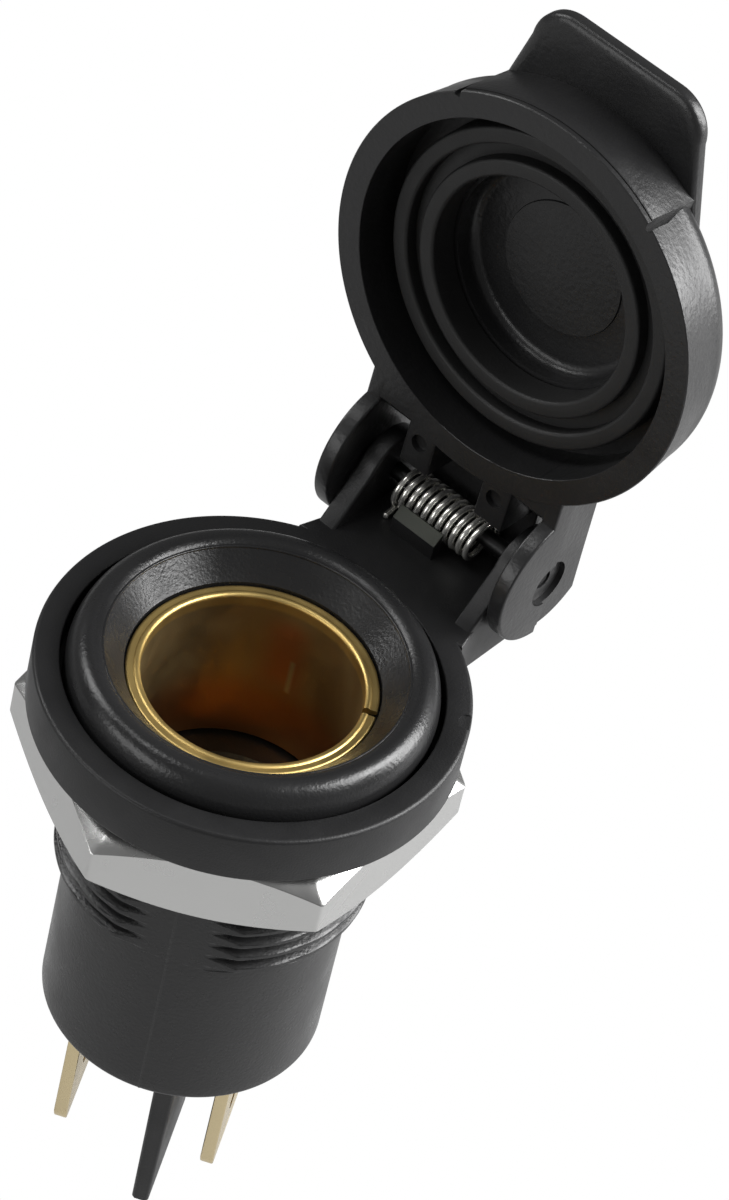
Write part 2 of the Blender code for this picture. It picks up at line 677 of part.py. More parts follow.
def make_hex_nut(plated):
    """Chamfered hexagon on the thread: a hexagonal prism cut by a double cone."""
    corner = NUT_FLATS / math.sqrt(3.0)
    top = -NUT_GAP
    bottom = top - NUT_HEIGHT
    outline = arc((0.0, 0.0), corner, 0.0, 360.0, 6)[:-1]
    nut = placed(plate(outline, bottom, top), "hex_nut", plated, turn=NUT_TURN)
    reach = corner + PAST
    slope = math.tan(NUT_CHAMFER)
    drop = (reach - NUT_CHAMFER_RADIUS) * slope
    inner = NUT_CHAMFER_RADIUS - PAST
    envelope = [
        (0.0, top + PAST * slope),
        (inner, top + PAST * slope),
        (reach, top - drop),
        (reach, bottom + drop),
        (inner, bottom - PAST * slope),
        (0.0, bottom - PAST * slope),
    ]
    cone = placed(turned_profile(envelope, WIDE_STEPS), "nut_cone_guide", turn=NUT_TURN)
    combine(nut, "INTERSECT", cone)
    mouth = NUT_MOUTH
    bore = THREAD_RADIUS + FIT
    core = [
        (0.0, top + mouth),
        (bore + 2.0 * mouth, top + mouth),
        (bore, top - mouth),
        (bore, bottom + mouth),
        (bore + 2.0 * mouth, bottom - mouth),
        (0.0, bottom - mouth),
    ]
    combine(nut, "DIFFERENCE", placed(turned_profile(core, WIDE_STEPS), "nut_bore_cutter", turn=NUT_TURN))
    return nut


def make_contact_sleeve(brass):
    """Rolled brass sleeve: flared lip, split, and a tail that runs down to its rivet."""
    outer = SLEEVE_RADIUS + SHEET
    lip_low = LIP_HEIGHT - LIP_THICKNESS
    profile = [
        (SLEEVE_RADIUS, SLEEVE_BOTTOM),
        (outer, SLEEVE_BOTTOM),
        (outer, lip_low),
        (LIP_RADIUS - LIP_THICKNESS * 0.3, lip_low),
        (LIP_RADIUS, lip_low + LIP_THICKNESS * 0.5),
        (LIP_RADIUS - LIP_THICKNESS * 0.3, LIP_HEIGHT),
        (SLEEVE_RADIUS + LIP_THICKNESS * 0.5, LIP_HEIGHT),
        (SLEEVE_RADIUS, LIP_HEIGHT - LIP_THICKNESS * 0.5),
    ]
    sleeve = placed(turned_profile(profile, WIDE_STEPS), "contact_sleeve", brass)
    half = SPLIT_WIDTH * 0.5
    low = (SLEEVE_RADIUS - PAST, -half, SLEEVE_BOTTOM - PAST)
    slot = box(low, (LIP_RADIUS + PAST, half, LIP_HEIGHT + PAST))
    combine(sleeve, "DIFFERENCE", placed(slot, "split_cutter", turn=SPLIT_TURN, smooth=False))

    tail_top = SLEEVE_BOTTOM + TAIL_LAP
    tail_low = WASHER_TOP - SHEET
    foot_end = TAIL_RIVET_PLACE + 2.0 * TAIL_RIVET_RADIUS
    strip = [
        (TAIL_FACE, tail_top),
        (TAIL_FACE, tail_low),
        (foot_end, tail_low),
        (foot_end, WASHER_TOP),
        (TAIL_FACE + SHEET, WASHER_TOP),
        (TAIL_FACE + SHEET, tail_top),
    ]
    tail_bm = plate(strip, -TAIL_WIDTH * 0.5, TAIL_WIDTH * 0.5, "XZ")
    combine(sleeve, "UNION", placed(tail_bm, "tail_guide", turn=TERMINAL_TURN, smooth=False))
    spot = (TAIL_RIVET_PLACE, 0.0)
    hole = rod(TAIL_RIVET_RADIUS + FIT, tail_low - SHEET, WASHER_TOP + SHEET, "Z", spot, TINY_STEPS)
    combine(sleeve, "DIFFERENCE", placed(hole, "tail_hole_cutter", turn=TERMINAL_TURN, smooth=False))
    return sleeve


def make_contact_insulator(black):
    """Cup that keeps the centre contact off the sleeve, with a groove for the tail."""
    outer = BORE_RADIUS - FIT
    floor = INSULATOR_BOTTOM + INSULATOR_FLOOR
    hole = CENTRE_RIVET_RADIUS + FIT
    funnel = INSULATOR_FUNNEL
    profile = [
        (hole, INSULATOR_BOTTOM),
        (outer, INSULATOR_BOTTOM),
        (outer, INSULATOR_TOP),
        (INSULATOR_BORE + funnel, INSULATOR_TOP),
        (INSULATOR_BORE, INSULATOR_TOP - funnel),
        (INSULATOR_BORE, floor),
        (hole, floor),
    ]
    cup = placed(turned_profile(profile, MEDIUM_STEPS), "contact_insulator", black, turn=TERMINAL_TURN)
    room = 2.0 * FIT
    half = TAIL_WIDTH * 0.5 + room
    inner = TAIL_FACE + SHEET + room
    low = (-BORE_RADIUS - PAST, -half, INSULATOR_BOTTOM - PAST)
    groove = box(low, (inner, half, INSULATOR_TOP + PAST))
    combine(cup, "DIFFERENCE", placed(groove, "tail_groove_cutter", turn=TERMINAL_TURN, smooth=False))
    pocket = rod(
        TAIL_RIVET_RADIUS * RIVET_HEAD_SHARE + 2.0 * FIT,
        INSULATOR_BOTTOM - PAST,
        INSULATOR_BOTTOM + RIVET_HEAD + SEAT,
        "Z",
        (TAIL_RIVET_PLACE, 0.0),
        TINY_STEPS,
    )
    combine(cup, "DIFFERENCE", placed(pocket, "head_pocket_cutter", turn=TERMINAL_TURN, smooth=False))
    return cup


def make_centre_contact(brass):
    """Slotted spring cup that grips the tip of the plug."""
    floor = INSULATOR_BOTTOM + INSULATOR_FLOOR + SEAT
    outer = CENTRE_RADIUS + SHEET
    hole = CENTRE_RIVET_RADIUS + FIT
    top = floor + CENTRE_LENGTH
    profile = [
        (hole, floor),
        (outer, floor),
        (outer, top - CENTRE_FLARE_LENGTH),
        (outer + CENTRE_FLARE, top),
        (CENTRE_RADIUS + CENTRE_FLARE, top),
        (CENTRE_RADIUS, top - CENTRE_FLARE_LENGTH),
        (CENTRE_RADIUS, floor + SHEET),
        (hole, floor + SHEET),
    ]
    contact = placed(turned_profile(profile, MEDIUM_STEPS), "centre_contact", brass, turn=TERMINAL_TURN)
    half = CENTRE_SLOT_WIDTH * 0.5
    for index in range(CENTRE_SLOTS):
        low = (CENTRE_RADIUS - PAST, -half, floor + CENTRE_SLOT_FLOOR)
        slot = box(low, (outer + PAST, half, top + PAST))
        turn = TERMINAL_TURN + math.pi * (0.25 + 2.0 * index / CENTRE_SLOTS)
        cutter = placed(slot, f"contact_slot_cutter_{index + 1}", turn=turn, smooth=False)
        combine(contact, "DIFFERENCE", cutter)
    return contact


def make_insulating_washer(fibre):
    profile = [
        (CENTRE_RIVET_RADIUS + FIT, WASHER_BOTTOM),
        (WASHER_RADIUS, WASHER_BOTTOM),
        (WASHER_RADIUS, WASHER_TOP),
        (CENTRE_RIVET_RADIUS + FIT, WASHER_TOP),
    ]
    return placed(turned_profile(profile, SMALL_STEPS), "insulating_washer", fibre, turn=TERMINAL_TURN)


def make_rivet(name, metal, radius, place, top, bottom):
    """A rivet with a formed head above top and below bottom."""
    head = radius * RIVET_HEAD_SHARE
    profile = [
        (0.0, bottom - RIVET_HEAD),
        (head * 0.7, bottom - RIVET_HEAD),
        (head, bottom - RIVET_HEAD * 0.5),
        (head, bottom - SEAT * 0.5),
        (radius, bottom - SEAT * 0.5),
        (radius, top + SEAT * 0.5),
        (head, top + SEAT * 0.5),
        (head, top + RIVET_HEAD * 0.5),
        (head * 0.7, top + RIVET_HEAD - SEAT),
        (0.0, top + RIVET_HEAD - SEAT),
    ]
    turn = Matrix.Rotation(TERMINAL_TURN, 4, "Z")
    bm = shifted(turned_profile(profile, TINY_STEPS), Vector((place, 0.0, 0.0)))
    bmesh.ops.transform(bm, matrix=turn, verts=bm.verts)
    return placed(bm, name, metal)


def make_terminal(name, brass, place, foot_end, rivet_place, rivet_radius):
    """Flat push-on blade with a chamfered tip, bent over into a riveted foot."""
    half = BLADE_WIDTH * 0.5
    tip = -BLADE_TIP
    taper = BLADE_TIP_TAPER
    outline = [
        (-half, FOOT_TOP),
        (-half, tip + 2.0 * taper),
        (-half + taper, tip),
        (half - taper, tip),
        (half, tip + 2.0 * taper),
        (half, FOOT_TOP),
    ]
    near = place - BLADE_THICKNESS * 0.5
    far = place + BLADE_THICKNESS * 0.5
    blade = placed(plate(outline, near, far, "YZ"), name, brass, turn=TERMINAL_TURN, smooth=False)
    low, high = sorted((near if foot_end > place else far, foot_end))
    foot = box((low, -FOOT_WIDTH * 0.5, FOOT_BOTTOM), (high, FOOT_WIDTH * 0.5, FOOT_TOP))
    combine(blade, "UNION", placed(foot, f"{name}_foot_guide", turn=TERMINAL_TURN, smooth=False))
    rivet_hole = rod(rivet_radius + FIT, FOOT_BOTTOM - PAST, FOOT_TOP + PAST, "Z", (rivet_place, 0.0), TINY_STEPS)
    combine(blade, "DIFFERENCE", placed(rivet_hole, f"{name}_rivet_cutter", turn=TERMINAL_TURN, smooth=False))
    spot = (0.0, tip + BLADE_HOLE_FROM_TIP)
    catch_hole = rod(BLADE_HOLE_RADIUS, near - PAST, far + PAST, "X", spot, TINY_STEPS)
    combine(blade, "DIFFERENCE", placed(catch_hole, f"{name}_catch_cutter", turn=TERMINAL_TURN, smooth=False))
    return blade


def make_terminal_base(black):
    """Plug that closes the barrel, slotted for the blades, with the barrier between them."""
    outer = BORE_RADIUS - FIT
    profile = [
        (0.0, BASE_BOTTOM),
        (outer - BASE_CHAMFER, BASE_BOTTOM),
        (outer, BASE_BOTTOM + BASE_CHAMFER),
        (outer, BASE_TOP),
        (0.0, BASE_TOP),
    ]
    base = placed(turned_profile(profile, MEDIUM_STEPS), "terminal_base", black, turn=TERMINAL_TURN)

    wide = BARRIER_THICKNESS * 0.5
    narrow = BARRIER_TIP_THICKNESS * 0.5
    low = -BARRIER_TIP
    section = [
        (BARRIER_PLACE - wide, BASE_BOTTOM + PAST),
        (BARRIER_PLACE - narrow, low + narrow),
        (BARRIER_PLACE - narrow * 0.5, low),
        (BARRIER_PLACE + narrow * 0.5, low),
        (BARRIER_PLACE + narrow, low + narrow),
        (BARRIER_PLACE + wide, BASE_BOTTOM + PAST),
    ]
    barrier = plate(section, -BARRIER_WIDTH * 0.5, BARRIER_WIDTH * 0.5, "XZ")
    combine(base, "UNION", placed(barrier, "barrier_guide", turn=TERMINAL_TURN, smooth=False))

    half = BLADE_WIDTH * 0.5 + FIT
    for place, word in ((NEGATIVE_PLACE, "negative"), (POSITIVE_PLACE, "positive")):
        near = place - BLADE_THICKNESS * 0.5 - FIT
        far = place + BLADE_THICKNESS * 0.5 + FIT
        slot = box((near, -half, BASE_BOTTOM - PAST), (far, half, BASE_TOP + PAST))
        cutter = placed(slot, f"{word}_slot_cutter", turn=TERMINAL_TURN, smooth=False)
        combine(base, "DIFFERENCE", cutter)
    for radius, place, word in (
        (CENTRE_RIVET_RADIUS, 0.0, "centre"),
        (TAIL_RIVET_RADIUS, TAIL_RIVET_PLACE, "tail"),
    ):
        reach = radius * RIVET_HEAD_SHARE + 2.0 * FIT
        bottom = FOOT_BOTTOM - RIVET_HEAD - 2.0 * SEAT
        pocket = rod(reach, bottom, BASE_TOP + PAST, "Z", (place, 0.0))
        cutter = placed(pocket, f"{word}_pocket_cutter", turn=TERMINAL_TURN, smooth=False)
        combine(base, "DIFFERENCE", cutter)
    return base


def build():
    clear_scene()
    gloss_black = finish("gloss_black_plastic", (0.016, 0.016, 0.017), 0.28, 0.0)
    matte_black = finish("matte_black_plastic", (0.020, 0.020, 0.021), 0.55, 0.0)
    rubber = finish("black_rubber", (0.012, 0.012, 0.012), 0.75, 0.0)
    plated = finish("bright_plating", (0.82, 0.82, 0.80), 0.22, 1.0)
    brass = finish("brass", (0.80, 0.60, 0.28), 0.22, 1.0)
    spring_steel = finish("spring_steel", (0.72, 0.71, 0.68), 0.20, 1.0)
    dark_steel = finish("dark_steel", (0.10, 0.10, 0.10), 0.40, 1.0)
    fibre = finish("brown_fibre", (0.20, 0.09, 0.05), 0.70, 0.0)

    hinge = bpy.data.objects.new("hinge_axis", None)
    bpy.context.scene.collection.objects.link(hinge)
    hinge.location = (0.0, HINGE_REACH, HINGE_HEIGHT)
    hinge.rotation_euler.x = -OPEN_ANGLE

    make_socket_body(gloss_black)
    make_hinge_ring(matte_black)
    make_lid(gloss_black, hinge)
    make_lid_seal(rubber, hinge)
    make_hinge_pin(dark_steel)
    make_torsion_spring(spring_steel)
    make_hex_nut(plated)
    make_contact_sleeve(brass)
    make_contact_insulator(matte_black)
    make_centre_contact(brass)
    make_insulating_washer(fibre)
    floor_top = INSULATOR_BOTTOM + INSULATOR_FLOOR + SEAT + SHEET
    make_rivet("centre_rivet", brass, CENTRE_RIVET_RADIUS, 0.0, floor_top, FOOT_BOTTOM)
    make_rivet("tail_rivet", brass, TAIL_RIVET_RADIUS, TAIL_RIVET_PLACE, WASHER_TOP, FOOT_BOTTOM)
    make_terminal(
        "negative_terminal",
        brass,
        NEGATIVE_PLACE,
        TAIL_RIVET_PLACE + 2.0 * TAIL_RIVET_RADIUS,
        TAIL_RIVET_PLACE,
        TAIL_RIVET_RADIUS,
    )
    make_terminal(
        "positive_terminal",
        brass,
        POSITIVE_PLACE,
        -2.0 * CENTRE_RIVET_RADIUS + FIT,
        0.0,
        CENTRE_RIVET_RADIUS,
    )
    make_terminal_base(matte_black)


build()
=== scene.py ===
import math

import bmesh
import bpy
import numpy as np
from mathutils import Matrix


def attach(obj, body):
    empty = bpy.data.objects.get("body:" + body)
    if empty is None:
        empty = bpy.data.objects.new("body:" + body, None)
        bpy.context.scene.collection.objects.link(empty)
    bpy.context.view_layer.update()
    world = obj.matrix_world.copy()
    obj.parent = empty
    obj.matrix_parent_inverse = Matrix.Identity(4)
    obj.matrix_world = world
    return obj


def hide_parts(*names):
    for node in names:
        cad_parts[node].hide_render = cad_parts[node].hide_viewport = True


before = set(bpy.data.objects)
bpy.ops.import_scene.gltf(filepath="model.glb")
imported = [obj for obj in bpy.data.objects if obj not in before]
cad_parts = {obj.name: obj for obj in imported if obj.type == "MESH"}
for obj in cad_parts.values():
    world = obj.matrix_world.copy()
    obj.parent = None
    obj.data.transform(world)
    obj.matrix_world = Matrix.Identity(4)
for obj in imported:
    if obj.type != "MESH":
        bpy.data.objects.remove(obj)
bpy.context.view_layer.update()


# Socket body: one glossy black moulding with a domed bezel, an 18 mm thread with two
# flats, and a plain barrel. The mould closes along the barrel, so a fine raised line
# runs down each side of it.

MM = 0.001
FULL = 2.0 * math.pi
TERMINAL_TURN = math.radians(27.0)
THREAD_PITCH = 1.0
THREAD_MAJOR = 9.0
THREAD_MINOR = 8.5
THREAD_END = -12.0
THREAD_FLAT = 8.3
BARREL_RADIUS = 8.13
SEAM_ANGLE = math.radians(-65.0)
SEAM_HEIGHT = 0.035
SEAM_WIDTH = 0.05
MOTTLE = 0.06
SHARP_ANGLE = math.radians(32.0)


def arc(centre, radius, start, end, steps, rise=None):
    """Points at equal angles on a circle: centre plus radius times cosine and sine. With a
    rise, the sine is multiplied by that instead, which makes an oval."""
    angle = np.radians(np.linspace(start, end, steps + 1))
    tall = radius if rise is None else rise
    return np.stack([centre[0] + radius * np.cos(angle), centre[1] + tall * np.sin(angle)], axis=1)


def line(first, last, steps):
    """Points at equal distances from first up to, and without, last."""
    share = np.linspace(0.0, 1.0, steps + 1)[:-1, None]
    return np.array(first) + (np.array(last) - np.array(first)) * share


def round_angles(count):
    """Equal angles once round, the last one step short of the first."""
    return np.arange(count) * FULL / count


def skin(grid, rows_loop=True, columns_loop=True):
    """Joins a grid of points in millimetres by quads into a closed mesh that faces outward.
    Where rows or columns don't loop, their first and last are filled."""
    rows, columns = grid.shape[:2]
    index = np.arange(rows * columns).reshape(rows, columns)
    near = index if rows_loop else index[:-1]
    far = np.roll(index, -1, axis=0) if rows_loop else index[1:]
    if columns_loop:
        quads = np.stack([near, far, np.roll(far, -1, axis=1), np.roll(near, -1, axis=1)], axis=-1)
    else:
        quads = np.stack([near[:, :-1], far[:, :-1], far[:, 1:], near[:, 1:]], axis=-1)
    faces = quads.reshape(-1, 4).tolist()
    if not rows_loop:
        for cap, points in ((index[0], grid[0]), (index[-1][::-1], grid[-1])):
            if np.ptp(points, axis=0).max() > 1e-6:
                faces.append(cap.tolist())
    if not columns_loop:
        faces.append(index[::-1, 0].tolist())
        faces.append(index[:, -1].tolist())
    mesh = bpy.data.meshes.new("skin")
    mesh.from_pydata((grid.reshape(-1, 3) * MM).tolist(), [], faces)
    shell = bmesh.new()
    shell.from_mesh(mesh)
    bmesh.ops.remove_doubles(shell, verts=shell.verts, dist=1e-8)
    if shell.calc_volume(signed=True) < 0.0:
        bmesh.ops.reverse_faces(shell, faces=shell.faces)
    shell.to_mesh(mesh)
    shell.free()
    return mesh


def revolve(profile, angles, radius_at=None):
    """Points (radius, height) turned about Z: x is radius times cosine, y is radius times sine.
    radius_at may change the radius by angle and height."""
    radius, height = np.array(profile, float).T
    turned = np.repeat(radius[:, None], len(angles), axis=1)
    if radius_at:
        turned = radius_at(turned, height[:, None], angles[None, :])
    tall = np.repeat(height[:, None], len(angles), axis=1)
    return np.stack([turned * np.cos(angles), turned * np.sin(angles), tall], axis=-1)


def surface(name, colour, roughness, metallic=0.0, grain=0.15, bump=0.1):
    """A plain finish. Fine noise in object space bumps it, and broad noise varies its roughness."""
    made = bpy.data.materials.new(name)
    made.use_nodes = True
    nodes = made.node_tree.nodes
    links = made.node_tree.links
    shader = nodes["Principled BSDF"]
    shader.inputs["Base Color"].default_value = (*colour, 1.0)
    shader.inputs["Metallic"].default_value = metallic
    place = nodes.new("ShaderNodeTexCoord")
    fine = nodes.new("ShaderNodeTexNoise")
    fine.inputs["Scale"].default_value = 1.0 / (grain * MM)
    fine.inputs["Detail"].default_value = 3.0
    raised = nodes.new("ShaderNodeBump")
    raised.inputs["Strength"].default_value = bump
    raised.inputs["Distance"].default_value = 0.05 * MM
    broad = nodes.new("ShaderNodeTexNoise")
    broad.inputs["Scale"].default_value = 400.0
    broad.inputs["Detail"].default_value = 4.0
    rough = nodes.new("ShaderNodeMapRange")
    rough.inputs["From Min"].default_value = 0.3
    rough.inputs["From Max"].default_value = 0.7
    rough.inputs["To Min"].default_value = roughness - MOTTLE
    rough.inputs["To Max"].default_value = roughness + MOTTLE
    links.new(place.outputs["Object"], fine.inputs["Vector"])
    links.new(place.outputs["Object"], broad.inputs["Vector"])
    links.new(fine.outputs["Fac"], raised.inputs["Height"])
    links.new(raised.outputs["Normal"], shader.inputs["Normal"])
    links.new(broad.outputs["Fac"], rough.inputs["Value"])
    links.new(rough.outputs["Result"], shader.inputs["Roughness"])
    return made


def patch(finish, colour, low, high, soft):
    """Colours a finish inside a box of object space, in millimetres, faded over soft outside it."""
    nodes = finish.node_tree.nodes
    links = finish.node_tree.links
    shader = nodes["Principled BSDF"]
    place = nodes.new("ShaderNodeTexCoord")
    split = nodes.new("ShaderNodeSeparateXYZ")
    links.new(place.outputs["Object"], split.inputs["Vector"])
    inside = None
    for axis, (least, most) in enumerate(zip(low, high)):
        away = nodes.new("ShaderNodeMath")
        away.operation = "SUBTRACT"
        away.inputs[1].default_value = 0.5 * (least + most) * MM
        distance = nodes.new("ShaderNodeMath")
        distance.operation = "ABSOLUTE"
        share = nodes.new("ShaderNodeMapRange")
        share.interpolation_type = "SMOOTHSTEP"
        share.inputs["From Min"].default_value = (0.5 * (most - least) + soft) * MM
        share.inputs["From Max"].default_value = 0.5 * (most - least) * MM
        links.new(split.outputs[axis], away.inputs[0])
        links.new(away.outputs[0], distance.inputs[0])
        links.new(distance.outputs[0], share.inputs["Value"])
        if inside is None:
            inside = share.outputs["Result"]
        else:
            both = nodes.new("ShaderNodeMath")
            both.operation = "MULTIPLY"
            links.new(inside, both.inputs[0])
            links.new(share.outputs["Result"], both.inputs[1])
            inside = both.outputs[0]
    mixed = nodes.new("ShaderNodeMix")
    mixed.data_type = "RGBA"
    base = shader.inputs["Base Color"]
    if base.links:
        links.new(base.links[0].from_socket, mixed.inputs["A"])
    else:
        mixed.inputs["A"].default_value = base.default_value
    mixed.inputs["B"].default_value = (*colour, 1.0)
    links.new(inside, mixed.inputs["Factor"])
    links.new(mixed.outputs["Result"], base)


def piece(name, mesh, body, node, finish):
    """Shows a mesh as the piece that stands for one CAD node."""
    mesh.name = name
    mesh.materials.clear()
    mesh.materials.append(finish)
    mesh.shade_smooth()
    mesh.set_sharp_from_angle(angle=SHARP_ANGLE)
    item = bpy.data.objects.new(name, mesh)
    bpy.context.scene.collection.objects.link(item)
    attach(item, body)
    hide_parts(node)


def thread_radius(height, angle):
    """A single-start thread: the radius is a clipped cosine of height less the lead at that angle."""
    wave = np.cos(FULL * (height / THREAD_PITCH - angle / FULL))
    share = np.clip(0.5 + 0.72 * wave, 0.0, 1.0)
    return THREAD_MINOR + (THREAD_MAJOR - THREAD_MINOR) * share


def body_radius(radius, height, angle):
    """Adds the thread, its two flats and the parting lines to the turned body. A flat is its
    distance over the sine of the angle from it, and a parting line is a Gaussian ridge."""
    threaded = (radius > 8.9) & (radius < 9.05) & (height < 0.0)
    lead_out = BARREL_RADIUS + 2.0 * np.clip(height - THREAD_END, 0.0, 5.0)
    crest = np.minimum(thread_radius(height, angle), lead_out)
    flat = THREAD_FLAT / np.maximum(np.abs(np.sin(angle - TERMINAL_TURN)), 1e-3)
    crest = np.where(height < -0.3, np.minimum(crest, flat), crest)
    radius = np.where(threaded, crest, radius)
    outside = (radius > 8.0) & (height < -0.3)
    for side in (0.0, math.pi):
        away = (angle - SEAM_ANGLE - side + math.pi) % FULL - math.pi
        ridge = SEAM_HEIGHT * np.exp(-((away * BARREL_RADIUS / SEAM_WIDTH) ** 2))
        radius = np.where(outside & (radius < 8.35), radius + ridge, radius)
    return radius


crown = arc((9.1, 2.85), 1.2, 119.5, 0.0, 36, rise=1.9)
body_profile = np.concatenate([
    line((6.61, -23.5), (6.61, 2.33), 20),
    line((6.61, 2.33), (6.71, 2.43), 1),
    line((6.71, 2.43), (7.10, 2.43), 1),
    line((7.10, 2.43), (7.10, 2.98), 1),
    line((7.10, 2.98), (7.12, 3.0), 1),
    line((7.12, 3.0), (8.366, 4.368), 8),
    arc((8.44, 4.42), 0.09, 215.0, 50.0, 8),
    crown,
    line((10.3, 2.8), (10.3, 1.35), 4),
    line((10.3, 1.35), (10.25, 1.3), 1),
    line((10.25, 1.3), (THREAD_MAJOR, 1.3), 2),
    line((THREAD_MAJOR, 1.3), (THREAD_MAJOR, -0.01), 3),
    line((THREAD_MAJOR, -0.01), (THREAD_MAJOR, -5.0), 50),
    line((THREAD_MAJOR, -5.0), (THREAD_MAJOR, THREAD_END), 140),
    line((BARREL_RADIUS, THREAD_END - 0.02), (BARREL_RADIUS, -23.2), 18),
    arc((7.73, -23.2), 0.4, 0.0, -90.0, 6),
    line((7.7, -23.6), (6.71, -23.6), 1),
    line((6.71, -23.6), (6.61, -23.5), 1),
])
seam_steps = np.array([-0.14, -0.09, -0.06, -0.03, 0.0, 0.03, 0.06, 0.09, 0.14]) / BARREL_RADIUS
seam_columns = [SEAM_ANGLE + side + seam_steps for side in (0.0, math.pi)]
body_angles = np.unique(np.round(np.concatenate([round_angles(288), *seam_columns]) % FULL, 6))
gloss_black = surface("gloss_black", (0.017, 0.017, 0.0175), 0.28, grain=0.2, bump=0.4)
piece(
    "socket_moulding",
    skin(revolve(body_profile, body_angles, body_radius)),
    "socket",
    "socket_body",
    gloss_black,
)


# Inner contacts: the insulating cup, the slotted spring cup that grips the plug's tip,
# the washer and the two rivets, as they come from the CAD part. They sit deep in the bore.

matte_black = surface("matte_black", (0.013, 0.013, 0.0135), 0.45, grain=0.12, bump=0.35)
brass = surface("brass", (0.81, 0.67, 0.40), 0.26, metallic=1.0, grain=0.1, bump=0.08)
fibre = surface("brown_fibre", (0.20, 0.09, 0.05), 0.7, grain=0.1, bump=0.3)
for node, finish in (
    ("contact_insulator", matte_black),
    ("centre_contact", brass),
    ("insulating_washer", fibre),
    ("centre_rivet", brass),
    ("tail_rivet", brass),
):
    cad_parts[node].data.materials.clear()
    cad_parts[node].data.materials.append(finish)


# Contact sleeve: thin brass sheet rolled to a tube and split down one side. Its mouth is
# turned over into a lip that rests in the body, and a tail runs down to its rivet. Inside,
# the sheet is duller, with a redder lower half, a red band and a pale streak.

SPLIT_TURN = math.radians(28.0)
SPLIT_HALF = 0.2 / 6.4


def slab(outline, low, high, edge=0.12, plane="XY", drop=None, bottom=None, lift=None):
    """A plate between two heights. Its outline is pulled in along a quarter oval at each face,
    which rounds the edges: by edge across and drop down above, by bottom and lift below."""
    spots = np.array(outline, float)
    after = np.roll(spots, -1, axis=0)
    if (spots[:, 0] * after[:, 1] - spots[:, 1] * after[:, 0]).sum() > 0.0:
        spots = spots[::-1]
    ahead = np.roll(spots, -1, axis=0) - spots
    normal = np.stack([ahead[:, 1], -ahead[:, 0]], axis=1)
    normal /= np.linalg.norm(normal, axis=1)[:, None]
    before = np.roll(normal, 1, axis=0)
    miter = (normal + before) / (1.0 + (normal * before).sum(axis=1))[:, None]
    drop = edge if drop is None else drop
    bottom = edge if bottom is None else bottom
    lift = bottom if lift is None else lift
    quarter = np.radians(np.linspace(0.0, 90.0, 5))
    rows = [(low + lift * (1.0 - math.cos(a)), bottom * (1.0 - math.sin(a))) for a in quarter]
    rows += [(high - drop * (1.0 - math.cos(a)), edge * (1.0 - math.sin(a))) for a in quarter[::-1]]
    grid = np.empty((len(rows), len(spots), 3))
    order = {"XY": (0, 1, 2), "YZ": (1, 2, 0), "XZ": (0, 2, 1)}[plane]
    for row, (height, inset) in enumerate(rows):
        flat = spots + miter * inset
        grid[row, :, order[0]] = flat[:, 0]
        grid[row, :, order[1]] = flat[:, 1]
        grid[row, :, order[2]] = height
    return skin(grid, rows_loop=False)


def block(low, high, edge=0.1):
    """A rounded slab between two corners."""
    outline = [(low[0], low[1]), (high[0], low[1]), (high[0], high[1]), (low[0], high[1])]
    return slab(outline, low[2], high[2], edge)


def rod(radius, low, high, centre=(0.0, 0.0), plane="XY", edge=0.0, count=64):
    """A round bar across a plane: a slab whose outline is a circle."""
    return slab(arc(centre, radius, 0.0, 360.0, count)[:-1], low, high, max(edge, 0.001), plane)


def turned(mesh, angle):
    """The mesh turned about Z."""
    mesh.transform(Matrix.Rotation(angle, 4, "Z"))
    return mesh


def carved(base, added=(), removed=()):
    """One mesh: the base with some meshes joined to it, and then others cut out of it."""
    items = []
    for mesh in (base, *added, *removed):
        item = bpy.data.objects.new("scratch", mesh)
        bpy.context.scene.collection.objects.link(item)
        items.append(item)
    for place, item in enumerate(items[1:]):
        modifier = items[0].modifiers.new(f"step_{place}", "BOOLEAN")
        modifier.operation = "UNION" if place < len(added) else "DIFFERENCE"
        modifier.solver = "EXACT"
        modifier.object = item
    bpy.context.view_layer.update()
    seen = items[0].evaluated_get(bpy.context.evaluated_depsgraph_get())
    result = bpy.data.meshes.new_from_object(seen)
    for item in items:
        used = item.data
        bpy.data.objects.remove(item)
        bpy.data.meshes.remove(used)
    return result


sleeve_profile = np.concatenate([
    line((6.16, -8.0), (6.51, -8.0), 1),
    line((6.51, -8.0), (6.51, 2.53), 10),
    line((6.51, 2.53), (6.83, 2.53), 2),
    arc((6.83, 2.71), 0.17, -90.0, 110.0, 10),
    arc((6.39, 2.72), 0.23, 40.0, 180.0, 10),
    line((6.16, 2.68), (6.16, -8.0), 12),
])
sleeve_angles = SPLIT_TURN + np.linspace(SPLIT_HALF, FULL - SPLIT_HALF, 193)
sleeve = skin(revolve(sleeve_profile, sleeve_angles), columns_loop=False)
tail_line = [
    (-6.405, -7.0), (-6.405, -16.85), (-2.1, -16.85),
    (-2.1, -16.5), (-6.055, -16.5), (-6.055, -7.0),
]
tail = slab(tail_line, -1.2, 1.2, 0.05, "XZ")
tail_hole = rod(0.7, -17.5, -16.0, (-3.3, 0.0))
sleeve = carved(sleeve, [turned(tail, TERMINAL_TURN)], [turned(tail_hole, TERMINAL_TURN)])
sleeve_brass = surface("sleeve_brass", (0.58, 0.45, 0.23), 0.42, metallic=1.0, grain=0.1, bump=0.15)
patch(sleeve_brass, (0.84, 0.61, 0.23), (-8.0, -8.0, 2.3), (8.0, 8.0, 4.0), 0.3)
patch(sleeve_brass, (0.58, 0.30, 0.13), (-6.6, -6.6, -12.0), (6.6, 6.6, -5.2), 3.0)
